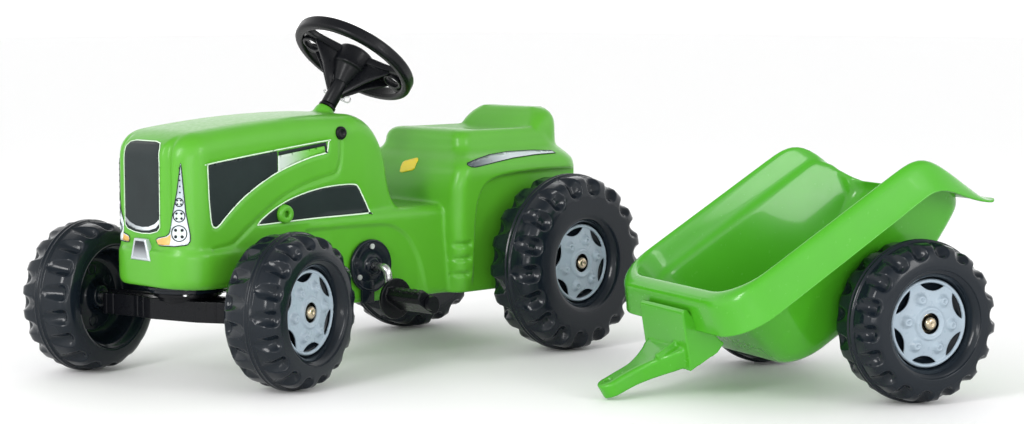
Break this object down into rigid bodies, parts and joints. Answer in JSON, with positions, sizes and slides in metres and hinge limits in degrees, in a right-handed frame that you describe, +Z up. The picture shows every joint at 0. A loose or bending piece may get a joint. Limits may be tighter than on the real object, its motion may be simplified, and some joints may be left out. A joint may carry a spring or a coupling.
{
  "type": "ride-on pedal tractor with trailer",
  "caption": "Child's ride-on pedal tractor with chain drive and steered front axle, and a low tipping trailer parked beside it on its drawbar.",
  "frame": {"origin": "middle of the set's footprint, on the floor", "axes": "-Y is the way the tractor drives, +X is its rider's left, towards the trailer, +Z is up; the trailer stands turned about 20 degrees in plan"},
  "size_m": [1.0979, 0.9324, 0.4901],
  "materials": {
    "green_body": "satin moulded green",
    "green_trailer": "glossy moulded green",
    "black_wheel": "glossy moulded black",
    "black_plastic": "matt moulded black",
    "cap_grey": "satin grey-blue",
    "steel": "bright zinc-plated steel",
    "nut_brassy": "yellow-passivated steel",
    "sticker_dark": "printed film, dark grey with pale lines",
    "sticker_silver": "printed film, silver",
    "sticker_yellow": "printed film, yellow"
  },
  "bodies": {
    "tractor_body": {"body_shell": "green_body", "grille_sticker": "sticker_dark", "nose_badge": "sticker_silver", "headlight_stickers": "sticker_silver", "bonnet_side_stickers": "sticker_dark", "lower_side_stickers": "sticker_dark", "fender_stickers": "sticker_silver", "seat_label": "sticker_yellow", "side_plugs": "black_plastic", "accessory_bosses": "green_body", "steering_upper_bush": "black_plastic", "steering_lower_bracket": "steel", "turntable_disc": "black_plastic", "turntable_screws": "steel", "kingpin": "steel", "kingpin_nut": "steel", "crank_bearing_left": "black_plastic", "crank_bearing_right": "black_plastic", "bearing_screws": "steel", "chain_case_left": "black_plastic", "chain_case_right": "black_plastic", "chain": "steel", "rear_bearing_left": "black_plastic", "rear_bearing_right": "black_plastic", "tow_hitch": "black_plastic", "tow_hitch_screws": "steel", "hitch_pin": "steel"},
    "front_axle": {"front_axle_bridge": "black_plastic", "front_axle_rod": "steel", "front_push_nuts": "nut_brassy"},
    "steering": {"steering_wheel": "black_plastic", "steering_rod": "steel", "column_clip": "steel"},
    "front_wheel_left": {"front_tyre_left": "black_wheel", "front_cap_left": "cap_grey"},
    "front_wheel_right": {"front_tyre_right": "black_wheel", "front_cap_right": "cap_grey"},
    "rear_axle": {"rear_axle_rod": "steel", "rear_push_nuts": "nut_brassy", "rear_sprocket": "steel", "rear_tyre_left": "black_wheel", "rear_cap_left": "cap_grey"},
    "rear_wheel_right": {"rear_tyre_right": "black_wheel", "rear_cap_right": "cap_grey"},
    "crank": {"crank_rod": "steel", "chainring": "steel", "pedal_clips": "black_plastic"},
    "pedal_left": {"pedal_left": "black_plastic"},
    "pedal_right": {"pedal_right": "black_plastic"},
    "trailer_axle": {"trailer_axle_rod": "steel", "trailer_push_nuts": "nut_brassy"},
    "trailer_tub": {"trailer_tub": "green_trailer", "drawbar": "green_trailer", "drawbar_screws": "steel"},
    "trailer_wheel_left": {"trailer_tyre_left": "black_wheel", "trailer_cap_left": "cap_grey"},
    "trailer_wheel_right": {"trailer_tyre_right": "black_wheel", "trailer_cap_right": "cap_grey"}
  },
  "joints": [
    {"name": "front_axle_steer", "type": "hinge", "parent": "tractor_body", "child": "front_axle", "pos_m": [-0.322, -0.314, 0.105], "axis": [0, 0, 1], "range_deg": [-35, 5]},
    {"name": "steering_turn", "type": "hinge", "parent": "tractor_body", "child": "steering", "pos_m": [-0.322, -0.0118, 0.4308], "axis": [0, 0.6088, 0.7934], "range_deg": [-99.93, 14.7]},
    {"name": "front_wheel_left_spin", "type": "hinge", "parent": "front_axle", "child": "front_wheel_left", "pos_m": [-0.15296, -0.26871, 0.105], "axis": [0.9659, 0.2588, 0], "continuous": true},
    {"name": "front_wheel_right_spin", "type": "hinge", "parent": "front_axle", "child": "front_wheel_right", "pos_m": [-0.49104, -0.35929, 0.105], "axis": [0.9659, 0.2588, 0], "continuous": true},
    {"name": "rear_axle_spin", "type": "hinge", "parent": "tractor_body", "child": "rear_axle", "pos_m": [-0.322, 0.25, 0.13], "axis": [1, 0, 0], "continuous": true, "deforming": ["chain"]},
    {"name": "rear_wheel_right_spin", "type": "hinge", "parent": "rear_axle", "child": "rear_wheel_right", "pos_m": [-0.497, 0.25, 0.13], "axis": [1, 0, 0], "continuous": true},
    {"name": "crank_spin", "type": "hinge", "parent": "tractor_body", "child": "crank", "pos_m": [-0.322, -0.063, 0.142], "axis": [1, 0, 0], "continuous": true},
    {"name": "pedal_left_spin", "type": "hinge", "parent": "crank", "child": "pedal_left", "pos_m": [-0.198, -0.05702, 0.09942], "axis": [1, 0, 0], "continuous": true},
    {"name": "pedal_right_spin", "type": "hinge", "parent": "crank", "child": "pedal_right", "pos_m": [-0.446, -0.06898, 0.18458], "axis": [1, 0, 0], "continuous": true},
    {"name": "trailer_roll", "type": "slide", "parent": "tractor_body", "child": "trailer_axle", "axis": [-0.3432, -0.9393, 0], "range_m": [-0.2, 0.1]},
    {"name": "trailer_tip", "type": "hinge", "parent": "trailer_axle", "child": "trailer_tub", "pos_m": [0.3089, 0.2963, 0.105], "axis": [-0.9393, 0.3432, 0], "range_deg": [0, 70]},
    {"name": "trailer_wheel_left_spin", "type": "hinge", "parent": "trailer_axle", "child": "trailer_wheel_left", "pos_m": [0.48267, 0.23281, 0.105], "axis": [0.9393, -0.3432, 0], "continuous": true},
    {"name": "trailer_wheel_right_spin", "type": "hinge", "parent": "trailer_axle", "child": "trailer_wheel_right", "pos_m": [0.13513, 0.35979, 0.105], "axis": [0.9393, -0.3432, 0], "continuous": true}
  ],
  "couplings": [
    {"joint": "steering_turn", "follows": "front_axle_steer", "ratio": 2.8409},
    {"joint": "crank_spin", "follows": "rear_axle_spin", "ratio": 0.66667}
  ]
}
